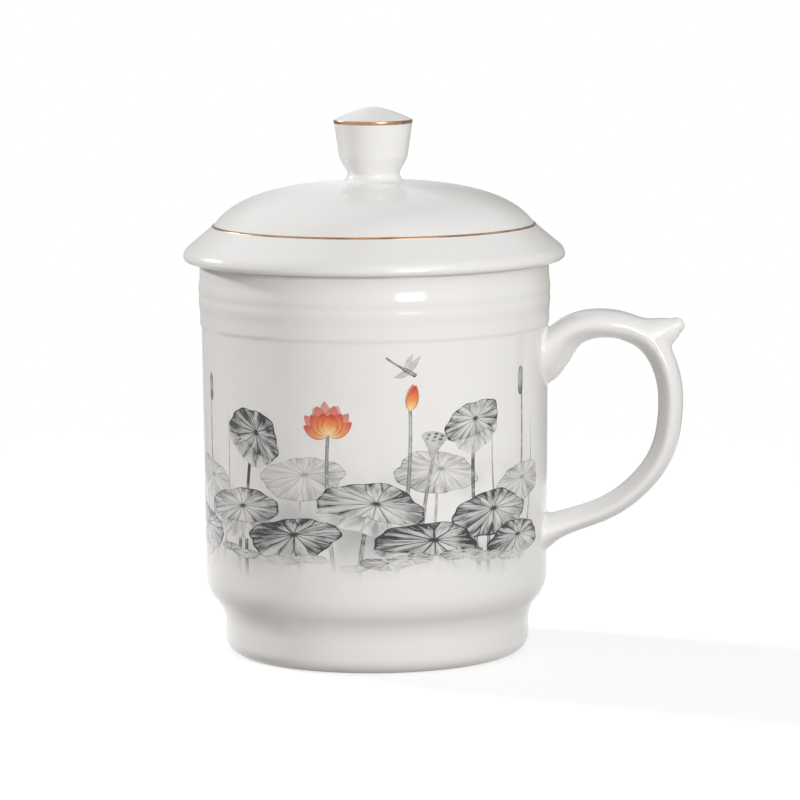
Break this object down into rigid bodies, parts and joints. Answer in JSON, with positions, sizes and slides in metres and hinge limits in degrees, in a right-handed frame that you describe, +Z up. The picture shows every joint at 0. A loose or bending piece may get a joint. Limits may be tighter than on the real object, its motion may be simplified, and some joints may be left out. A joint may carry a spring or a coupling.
{
  "type": "lidded tea cup",
  "caption": "Straight-sided porcelain tea cup on a stepped foot, with a looped handle and thumb spur, and a loose domed lid with a knob that lifts off the mouth.",
  "frame": {"origin": "centre of the foot ring, on the surface that the cup stands on", "axes": "+Z up along the cup's axis, +X towards the handle"},
  "size_m": [0.1222, 0.0928, 0.133],
  "materials": {
    "porcelain": "clear gloss glaze over white porcelain",
    "slip": "fired slip under the same gloss glaze",
    "print": "grey ink-wash transfer fired under gloss",
    "gold": "bright fired gold line"
  },
  "bodies": {
    "cup": {"cup_body": "porcelain", "handle": "porcelain", "handle_upper_slip": "slip", "handle_lower_slip": "slip", "print_film": "print"},
    "lid": {"lid": "porcelain", "lid_knob": "porcelain", "knob_slip": "slip", "lid_gold_line": "gold", "knob_gold_line": "gold"}
  },
  "joints": [
    {"name": "lid_lift", "type": "slide", "parent": "cup", "child": "lid", "axis": [0, 0, 1], "range_m": [0, 0.1]}
  ]
}
